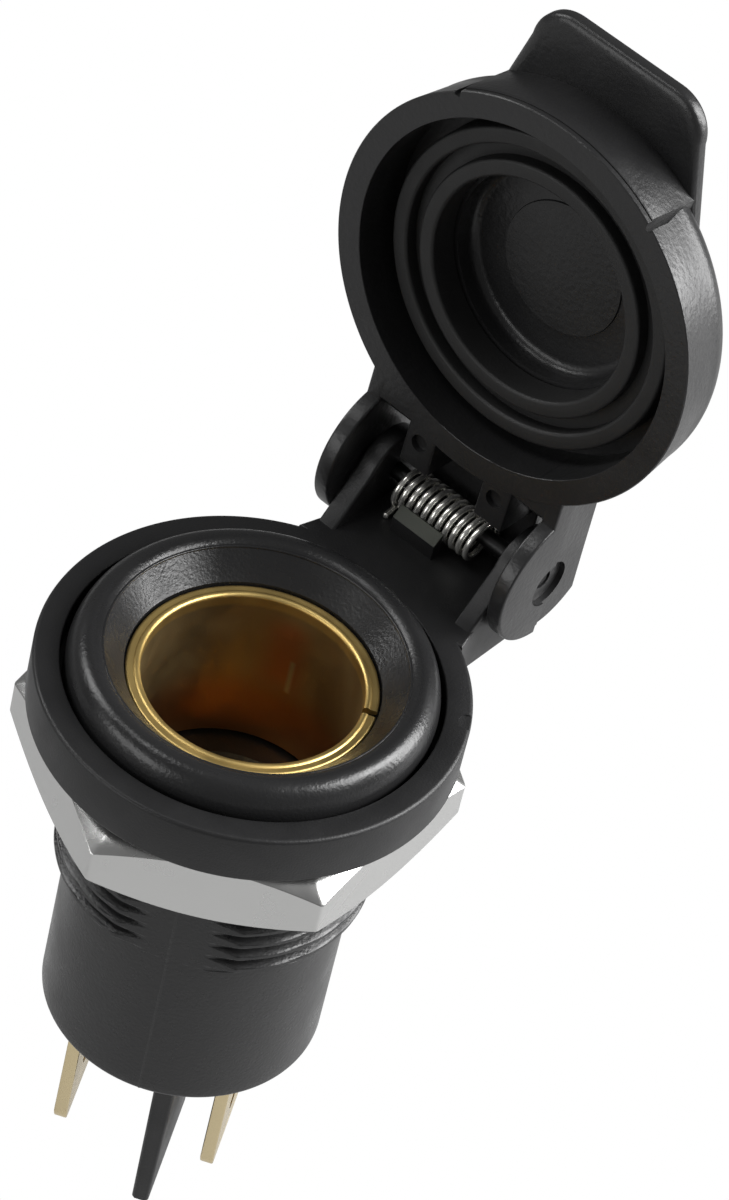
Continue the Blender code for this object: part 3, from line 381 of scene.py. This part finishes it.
patch(sleeve_brass, (0.72, 0.34, 0.16), (-2.1, 5.0, -2.5), (-1.9, 7.0, 0.6), 1.8)
patch(sleeve_brass, (0.80, 0.68, 0.42), (-1.52, 5.0, -3.6), (-1.50, 7.0, -1.4), 0.25)
piece("sleeve_sheet", sleeve, "socket", "contact_sleeve", sleeve_brass)


# Terminals: two flat push-on blades stamped from 0.8 mm brass, with chamfered tips and a
# catch hole. Each is bent over at the top and riveted inside the barrel.

BLADE_TIP = -34.5
NEGATIVE_PLACE = -5.0
POSITIVE_PLACE = 4.0


def blade(place, foot_end, rivet_place, rivet_radius):
    """A flat slab at x = place with a foot bent to foot_end, less its catch and rivet holes."""
    side = [(3.15, -16.95), (3.15, BLADE_TIP + 0.7), (2.8, BLADE_TIP)]
    outline = [(-across, height) for across, height in side] + side[::-1]
    flat = slab(outline, place - 0.4, place + 0.4, 0.1, "YZ")
    near, far = sorted((place - 0.4 if foot_end > place else place + 0.4, foot_end))
    foot = block((near, -2.2, -17.75), (far, 2.2, -16.95), 0.08)
    catch = rod(0.8, place - 1.0, place + 1.0, (0.0, BLADE_TIP + 3.2), "YZ")
    rivet = rod(rivet_radius, -18.0, -16.5, (rivet_place, 0.0))
    return turned(carved(flat, [foot], [catch, rivet]), TERMINAL_TURN)


for name, node, place, foot_end, rivet_place, rivet_radius in (
    ("negative_blade", "negative_terminal", NEGATIVE_PLACE, -2.1, -3.3, 0.7),
    ("positive_blade", "positive_terminal", POSITIVE_PLACE, -1.5, 0.0, 0.9),
):
    shape = blade(place, foot_end, rivet_place, rivet_radius)
    piece(name, shape, "socket", node, brass)


# Terminal base: a matte black plug in the end of the barrel, with slots for the blades and
# a tapered wall between them.

base_profile = np.concatenate([
    line((0.0, -22.9), (6.21, -22.9), 4),
    line((6.21, -22.9), (6.51, -22.6), 1),
    line((6.51, -22.6), (6.51, -17.85), 4),
    line((6.51, -17.85), (0.0, -17.85), 4),
    np.array([(0.0, -17.85)]),
])
base = skin(revolve(base_profile, round_angles(160)), rows_loop=False)
barrier_line = [(0.1, -21.9), (0.3, -37.9), (0.45, -38.1), (1.15, -38.1), (1.3, -37.9), (1.5, -21.9)]
barrier = slab(barrier_line, -4.2, 4.2, 0.2, "XZ")
slots = [
    block((place - 0.5, -3.25, -24.0), (place + 0.5, 3.25, -16.8), 0.02)
    for place in (NEGATIVE_PLACE, POSITIVE_PLACE)
]
pockets = [rod(1.6, -18.45, -16.8), rod(1.25, -18.45, -16.8, (-3.3, 0.0))]
base = turned(carved(base, [barrier], slots + pockets), TERMINAL_TURN)
piece("base_moulding", base, "socket", "terminal_base", matte_black)


# Hinge ring: a matte black moulded collar round the bezel, clamped by its inner flange. It
# carries the hinge platform, two ears for the pin and a small block in front of the spring.

HINGE = (16.5, 4.95)
PLATFORM_TOP = 3.2


def round_room(radius, low, high):
    """A round plate on the socket's axis, used to clear the room inside the ring and the lid."""
    profile = np.array([(0.0, low), (radius, low), (radius, high), (0.0, high)])
    return skin(revolve(profile, round_angles(250)), rows_loop=False)


ring_profile = np.concatenate([
    line((9.1, 0.0), (11.95, 0.0), 2),
    arc((11.95, 0.15), 0.15, -90.0, 0.0, 4),
    arc((11.85, 2.95), 0.25, 0.0, 90.0, 6),
    arc((10.7, 3.1), 0.1, 90.0, 180.0, 4),
    line((10.6, 2.9), (10.6, 1.2), 3),
    line((10.6, 1.2), (9.1, 1.2), 2),
    line((9.1, 1.2), (9.1, 0.0), 2),
])
ring = skin(revolve(ring_profile, round_angles(256)))
platform_line = [(-6.1, 10.5), (6.1, 10.5), (5.65, 12.1), (5.65, 17.4), (-5.65, 17.4), (-5.65, 12.1)]
platform = slab(platform_line, 0.0, PLATFORM_TOP, 0.15)
ear_line = np.concatenate([
    [(11.6, 0.1), (11.6, PLATFORM_TOP)],
    arc(HINGE, 2.5, 158.0, -20.0, 40),
    [(18.5, 0.1)],
])
ears = [slab(ear_line, near, near + 1.15, 0.15, "YZ") for near in (-5.65, 4.5)]
stop_line = [(14.2, 1.6), (14.2, 4.2), (14.81, 4.78), (14.88, 4.78), (14.88, 1.6)]
stop = slab(stop_line, -2.58, 0.52, 0.05, "YZ")
bezel_room = round_room(10.61, 1.19, 8.0)
pin_hole = rod(0.55, -7.0, 7.0, HINGE, "YZ")
ejector_mark = rod(0.55, 3.13, 3.4, (9.965, 6.514))
ring = carved(ring, [platform, *ears, stop], [bezel_room, pin_hole, ejector_mark])
ring_black = surface("ring_black", (0.012, 0.012, 0.0125), 0.45, grain=0.12, bump=0.35)
# Painted highlight: the slanted front face of the small block in front of the spring is coloured a lighter
# olive grey, standing in for the light it catches from the front.
patch(ring_black, (0.055, 0.060, 0.046), (-2.56, 14.22, 4.22), (0.5, 14.84, 4.8), 0.02)
piece("hinge_collar", ring, "socket", "hinge_ring", ring_black)


# Nut: a plated steel hexagon, chamfered at both faces by a 30 degree cone. It is screwed up
# the thread against the panel, and here stands right under the ring.

NUT_TURN = math.radians(33.0)
NUT_ACROSS = 22.0
NUT_CORNER = 0.3
NUT_FACE_RADIUS = 10.3
NUT_MOUTH_RADIUS = 9.45
NUT_TOP = -0.3
NUT_BOTTOM = -5.2

corners = []
for corner in range(6):
    middle = math.radians(60.0 * corner)
    reach = NUT_ACROSS / math.sqrt(3.0) - NUT_CORNER / math.cos(math.pi / 6.0)
    spot = (reach * math.cos(middle), reach * math.sin(middle))
    corners.append(arc(spot, NUT_CORNER, 60.0 * corner - 30.0, 60.0 * corner + 30.0, 6))
    after = math.radians(60.0 * (corner + 1))
    following = (reach * math.cos(after), reach * math.sin(after))
    direction = math.radians(60.0 * corner + 30.0)
    push = np.array([math.cos(direction), math.sin(direction)]) * NUT_CORNER
    side = line(np.array(spot) + push, np.array(following) + push, 28)
    corners.append(side[1:])
hexagon = np.concatenate(corners)
hexagon_radius = np.linalg.norm(hexagon, axis=1)
hexagon_angle = np.arctan2(hexagon[:, 1], hexagon[:, 0])
chamfer = (hexagon_radius - NUT_FACE_RADIUS) * math.tan(math.pi / 6.0)
all_round = np.ones(len(hexagon))
nut_rows = [
    (all_round * NUT_MOUTH_RADIUS, all_round * NUT_TOP),
    (all_round * NUT_FACE_RADIUS, all_round * NUT_TOP),
    (hexagon_radius - 0.06, NUT_TOP - chamfer + 0.02),
    (hexagon_radius, NUT_TOP - chamfer - 0.06),
    (hexagon_radius, NUT_BOTTOM + chamfer + 0.06),
    (hexagon_radius - 0.06, NUT_BOTTOM + chamfer - 0.02),
    (all_round * NUT_FACE_RADIUS, all_round * NUT_BOTTOM),
    (all_round * NUT_MOUTH_RADIUS, all_round * NUT_BOTTOM),
]
for height in np.linspace(NUT_BOTTOM + 0.35, NUT_TOP - 0.35, 60):
    tall = all_round * height
    nut_rows.append((thread_radius(tall, hexagon_angle + NUT_TURN) + 0.1, tall))
nut_grid = np.array([
    np.stack([radius * np.cos(hexagon_angle), radius * np.sin(hexagon_angle), height], axis=-1)
    for radius, height in nut_rows
])
plated = surface("bright_plating", (0.73, 0.73, 0.72), 0.24, metallic=1.0, grain=0.2, bump=0.05)
piece("nut_plated", turned(skin(nut_grid), NUT_TURN), "socket", "hex_nut", plated)


# Hinge pin: a plain dark steel rod with rounded ends, pushed through the lid's cheeks and
# the ring's ears.

dark_steel = surface("dark_steel", (0.035, 0.035, 0.035), 0.45, metallic=1.0, grain=0.1, bump=0.1)
pin = rod(0.5, -6.4, 6.4, HINGE, "YZ", edge=0.12)
piece("pin_rod", pin, "socket", "hinge_pin", dark_steel)


# Torsion spring: 0.36 mm bright wire, wound round the pin with small gaps. One short leg
# rests on the platform, and the other stands at the tongue of the open lid.

COIL_RADIUS = 1.2
COIL_CENTRE = (16.28, 4.68)
COIL_PLACE = -0.55
COIL_TURNS = 11
COIL_LENGTH = 5.72
WIRE_RADIUS = 0.18


def bent(points, steps):
    """A curve through the points: on each stretch, a cubic of the two ends and their neighbours."""
    spots = np.array(points, float)
    spots = np.concatenate([[2.0 * spots[0] - spots[1]], spots, [2.0 * spots[-1] - spots[-2]]])
    t = (np.arange(steps) / steps)[:, None]
    runs = []
    for a, b, c, d in zip(spots, spots[1:], spots[2:], spots[3:]):
        runs.append(0.5 * (2.0 * b + (c - a) * t + (2.0 * a - 5.0 * b + 4.0 * c - d) * t**2
                           + (3.0 * b - a - 3.0 * c + d) * t**3))
    return np.concatenate(runs + [spots[-2:-1]])


def tube(path, radius, around=16):
    """A round wire: at each point of the path a circle across its direction, carried along
    without twist, with ends drawn in to round them."""
    ahead = np.gradient(path, axis=0)
    ahead /= np.linalg.norm(ahead, axis=1)[:, None]
    across = np.cross(ahead[0], (0.3, 0.5, 0.8))
    spin = round_angles(around)[:, None]
    grid = np.empty((len(path), around, 3))
    for step, (spot, along) in enumerate(zip(path, ahead)):
        across = across - along * np.dot(across, along)
        across /= np.linalg.norm(across)
        other = np.cross(along, across)
        grid[step] = spot + radius * (np.cos(spin) * across + np.sin(spin) * other)
    first = path[0] - ahead[0] * radius * 0.3 + (grid[0] - path[0]) * 0.6
    last = path[-1] + ahead[-1] * radius * 0.3 + (grid[-1] - path[-1]) * 0.6
    return skin(np.concatenate([[first], grid, [last]]), rows_loop=False)


coil_start = math.radians(250.0)
coil_end = coil_start - FULL * (COIL_TURNS - 0.5) - math.radians(70.0)
share = np.linspace(0.0, 1.0, 40 * COIL_TURNS + 1)
coil_angle = coil_start + (coil_end - coil_start) * share
coil = np.stack([
    COIL_PLACE - COIL_LENGTH * 0.5 + COIL_LENGTH * share,
    COIL_CENTRE[0] + COIL_RADIUS * np.cos(coil_angle),
    COIL_CENTRE[1] + COIL_RADIUS * np.sin(coil_angle),
], axis=1)
platform_leg = bent([(coil[0][0] + 0.1, 14.6, 3.42), (coil[0][0] + 0.05, 15.2, 3.42), coil[0]], 12)
lid_leg = bent([coil[-1], (coil[-1][0], 17.5, 4.1), (coil[-1][0], 17.5, 3.45)], 12)
wire = tube(np.concatenate([platform_leg[:-1], coil, lid_leg[1:]]), WIRE_RADIUS)
spring_steel = surface("spring_steel", (0.96, 0.95, 0.90), 0.22, metallic=0.85, grain=0.1, bump=0.05)
piece("spring_wire", wire, "socket", "torsion_spring", spring_steel)


# Lid: a black moulding, built closed over the bezel and then swung open about the pin. A
# crowned shell has a cup inside, with a thumb tab in front and behind it a neck with lugs,
# a tongue and two cheeks for the pin.

RIM = 3.5
NECK_TOP = 7.5
NECK_FRONT = 9.1
CHEEK_CENTRE = (HINGE[0] - 0.7, HINGE[1])
CHEEK_RADIUS = 4.4
CHEEK_BACK_RADIUS = 3.9
TAB_ROOT = (7.3, -6.6)
TAB_BASE_HALF = 6.5
TAB_BASE_RADIUS = 12.1
OPEN = math.radians(-94.0)


def opened(mesh):
    """The mesh swung about the pin from closed to where the photograph shows it."""
    there = Matrix.Translation((0.0, HINGE[0] * MM, HINGE[1] * MM))
    mesh.transform(there @ Matrix.Rotation(OPEN, 4, "X") @ there.inverted())
    return mesh


shoulder = arc((10.15, 6.5), 1.5, 0.0, 78.0, 14)
top_radius, top_height = shoulder[-1]
fall = np.linspace(1.0, 0.0, 13)[1:]
crowned = np.stack([top_radius * fall, top_height + (RIM + 6.3 - top_height) * (1.0 - fall**2)], axis=1)
lid_profile_line = np.concatenate([
    crowned[::-1],
    shoulder[::-1],
    line((11.65, 6.4), (11.97, 3.6), 4),
    [(11.98, 3.56), (11.92, 3.5)],
    line((11.9, 3.5), (10.52, 3.5), 3),
    [(10.48, 3.51), (10.44, 3.56)],
    line((10.44, 3.6), (10.44, 7.0), 5),
    line((10.44, 7.0), (6.40, 7.0), 3),
    [(6.35, 7.02), (6.34, 7.08)],
    line((6.34, 7.1), (6.34, 7.75), 3),
    arc((5.74, 7.75), 0.6, 0.0, 90.0, 10),
    line((5.7, 8.35), (4.05, 8.35), 3),
    line((4.0, 8.30), (4.0, 8.2), 1),
    line((3.95, 8.2), (0.0, 8.2), 3),
    [(0.0, 8.2)],
])
shell = skin(revolve(lid_profile_line, round_angles(256)), rows_loop=False)
base_rows = []
for height in (3.9, 3.95, 4.05, 6.0, 7.95):
    radius = TAB_BASE_RADIUS - 0.35 * (height - RIM) / 3.0 - max(0.0, 0.1 - (height - 3.9)) * 0.6
    spread = math.degrees(math.asin(TAB_BASE_HALF / radius))
    sector = arc((0.0, 0.0), radius, spread - 90.0, -spread - 90.0, 40)
    row = np.concatenate([[(TAB_BASE_HALF, TAB_ROOT[1])], sector, [(-TAB_BASE_HALF, TAB_ROOT[1])]])
    base_rows.append(np.column_stack([row, np.full(len(row), height)]))
tab_base = skin(np.array(base_rows), rows_loop=False)
tip = arc((3.4, -12.65), 2.4, 0.0, -90.0, 16)
tab_outline = np.concatenate([[TAB_ROOT], tip, tip[::-1] * (-1.0, 1.0), [(-TAB_ROOT[0], TAB_ROOT[1])]])
tab = slab(tab_outline, 7.5, 8.5, 0.25, drop=0.25, bottom=0.7, lift=0.35)

# The parts of the neck start and end a little apart, so that no two faces coincide where
# they are joined.
tongue_line = [
    (NECK_FRONT, 6.35), (18.9, 6.35), (18.9, 6.9), (18.35, NECK_TOP), (NECK_FRONT, NECK_TOP),
]
tongue = slab(tongue_line, -4.15, 4.15, 0.12, "YZ")
neck_line = [
    (NECK_FRONT + 0.03, RIM + 0.03), (11.35, RIM + 0.03), (13.8, 6.0),
    (13.8, 7.49), (NECK_FRONT + 0.03, 7.49),
]
webs = [slab(neck_line, low, high, 0.08, "YZ") for low, high in ((-6.9, -3.7), (3.7, 6.9))]
webs.append(block((-3.72, NECK_FRONT + 0.06, 6.01), (3.72, 13.3, 7.48), 0.08))
lugs = [block((near, NECK_FRONT + 0.09, RIM + 0.02), (near + 2.0, 14.2, 7.4), 0.1) for near in (-3.75, 1.75)]
cheek_front = math.degrees(math.asin((HINGE[1] - RIM - 0.02) / CHEEK_RADIUS))
cheek_line = np.concatenate([
    [(NECK_FRONT + 0.12, NECK_TOP + 0.01), (11.2, 7.53), (14.9, 7.7)],
    arc(CHEEK_CENTRE, CHEEK_BACK_RADIUS, 49.0, 0.0, 20),
    arc(CHEEK_CENTRE, CHEEK_RADIUS, 0.0, -180.0 + cheek_front, 60),
    [(NECK_FRONT + 0.12, RIM + 0.02)],
])
cheeks = [slab(cheek_line, near, near + 1.0, 0.14, "YZ") for near in (-6.95, 5.95)]
marks = [rod(0.55, 2.5, 3.9, (side * 2.75, 12.45)) for side in (-1.0, 1.0)]
recesses = [rod(1.45, near, near + 1.5, HINGE, "YZ") for near in (-7.95, 6.45)]
cheek_hole = rod(0.6, -8.0, 8.0, HINGE, "YZ")
hollow = round_room(10.45, 0.0, 7.01)
steps = [block((near, 8.0, HINGE[1]), (near + 0.65, 21.0, 9.0), 0.001) for near in (-7.45, 6.8)]
notches = [block((near, -10.7, 3.2), (near + 0.35, -9.62, 7.2), 0.02) for near in (-6.85, 6.5)]
lid = carved(
    shell,
    [tab_base, tab, tongue, *webs, *lugs, *cheeks],
    [*marks, *recesses, *steps, *notches, hollow, cheek_hole],
)
lid_black = surface("lid_black", (0.018, 0.018, 0.0185), 0.34, grain=0.3, bump=0.5)
piece("lid_moulding", opened(lid), "lid", "lid", lid_black)


# Lid seal: a moulded ring of soft black rubber, fixed in the lid round the cup. It has two
# ribs, and the outer one closes on the bezel.

seal_profile = np.concatenate([
    line((6.55, 6.9), (6.55, 5.25), 3),
    arc((6.75, 5.25), 0.2, 180.0, 270.0, 5),
    arc((7.35, 5.25), 0.2, 270.0, 360.0, 5),
    line((7.55, 5.35), (7.55, 5.9), 3),
    line((7.55, 5.9), (8.4, 5.9), 2),
    line((8.4, 5.9), (8.4, 5.35), 3),
    arc((8.6, 5.25), 0.2, 180.0, 270.0, 5),
    arc((9.2, 5.25), 0.2, 270.0, 360.0, 5),
    line((9.4, 5.35), (9.4, 6.9), 3),
    line((9.4, 6.9), (6.55, 6.9), 3),
])
rubber = surface("seal_rubber", (0.014, 0.014, 0.014), 0.55, grain=0.15, bump=0.3)
seal = opened(skin(revolve(seal_profile, round_angles(224))))
piece("seal_ring", seal, "lid", "lid_seal", rubber)


# Stage: a pale floor well below the terminals, which the camera sees as white, soft boxes
# and the camera of the photograph.

FLOOR_HALF = 1.5
FLOOR_HEIGHT = -0.09
PHOTO_HEIGHT = 1200.0
FOCAL_PIXELS = 5500.0
SENSOR_HEIGHT = 24.0

floor_corners = [
    (x * FLOOR_HALF, y * FLOOR_HALF, FLOOR_HEIGHT) for x, y in ((-1, -1), (1, -1), (1, 1), (-1, 1))
]
floor_mesh = bpy.data.meshes.new("floor")
floor_mesh.from_pydata(floor_corners, [], [(0, 1, 2, 3)])
floor = bpy.data.objects.new("floor", floor_mesh)
bpy.context.scene.collection.objects.link(floor)
paper = bpy.data.materials.new("white_paper")
paper.use_nodes = True
nodes = paper.node_tree.nodes
links = paper.node_tree.links
nodes["Principled BSDF"].inputs["Base Color"].default_value = (0.42, 0.42, 0.42, 1.0)
nodes["Principled BSDF"].inputs["Roughness"].default_value = 0.9
seen_white = nodes.new("ShaderNodeEmission")
seen_white.inputs["Strength"].default_value = 1.0
ray = nodes.new("ShaderNodeLightPath")
choice = nodes.new("ShaderNodeMixShader")
links.new(ray.outputs["Is Camera Ray"], choice.inputs["Fac"])
links.new(nodes["Principled BSDF"].outputs["BSDF"], choice.inputs[1])
links.new(seen_white.outputs["Emission"], choice.inputs[2])
links.new(choice.outputs["Shader"], nodes["Material Output"].inputs["Surface"])
floor_mesh.materials.append(paper)

azimuth, elevation, roll = (math.radians(angle) for angle in (31.532, 44.959, 13.957))
right = np.array([math.cos(azimuth), math.sin(azimuth), 0.0])
forward = np.array([
    -math.sin(azimuth) * math.cos(elevation),
    math.cos(azimuth) * math.cos(elevation),
    -math.sin(elevation),
])
up = np.cross(right, forward)
rolled_right = math.cos(roll) * right + math.sin(roll) * up
rolled_up = -math.sin(roll) * right + math.cos(roll) * up
eye = -(-6.518 * rolled_right - 6.199 * rolled_up + 300.049 * forward) * MM
lens = bpy.data.cameras.new("camera")
lens.sensor_fit = "VERTICAL"
lens.sensor_height = SENSOR_HEIGHT
lens.sensor_width = 36.0
lens.lens = FOCAL_PIXELS / PHOTO_HEIGHT * SENSOR_HEIGHT
lens.clip_start = 0.01
lens.clip_end = 10.0
camera = bpy.data.objects.new("camera", lens)
bpy.context.scene.collection.objects.link(camera)
turn = np.stack([rolled_right, rolled_up, -forward], axis=1)
camera.matrix_world = Matrix.Translation(eye.tolist()) @ Matrix(turn.tolist()).to_4x4()
bpy.context.scene.camera = camera


def softbox(name, place, width, height, power):
    """A rectangular area light at place that faces the origin. Lengths are metres, power watts."""
    lamp = bpy.data.lights.new(name, "AREA")
    lamp.shape = "RECTANGLE"
    lamp.size = width
    lamp.size_y = height
    lamp.energy = power
    item = bpy.data.objects.new(name, lamp)
    bpy.context.scene.collection.objects.link(item)
    item.rotation_mode = "QUATERNION"
    item.rotation_quaternion = Matrix.Translation(place).translation.to_track_quat("Z", "Y")
    item.location = place


softbox("left_box", (-0.35, -0.1, 0.25), 0.15, 0.2, 0.55)
softbox("right_box", (0.29, 0.34, 0.18), 0.2, 0.4, 2.8)
softbox("upper_right_box", (0.34, 0.17, 0.33), 0.25, 0.25, 2.2)
softbox("top_box", (-0.15, -0.15, 0.42), 0.12, 0.12, 0.2)
softbox("front_box", (-0.2, -0.5, 0.12), 0.4, 0.2, 0.7)

world = bpy.data.worlds.new("studio")
world.use_nodes = True
world.node_tree.nodes["Background"].inputs["Color"].default_value = (1.0, 1.0, 1.0, 1.0)
world.node_tree.nodes["Background"].inputs["Strength"].default_value = 0.15
bpy.context.scene.world = world
bpy.context.scene.view_settings.view_transform = "Standard"
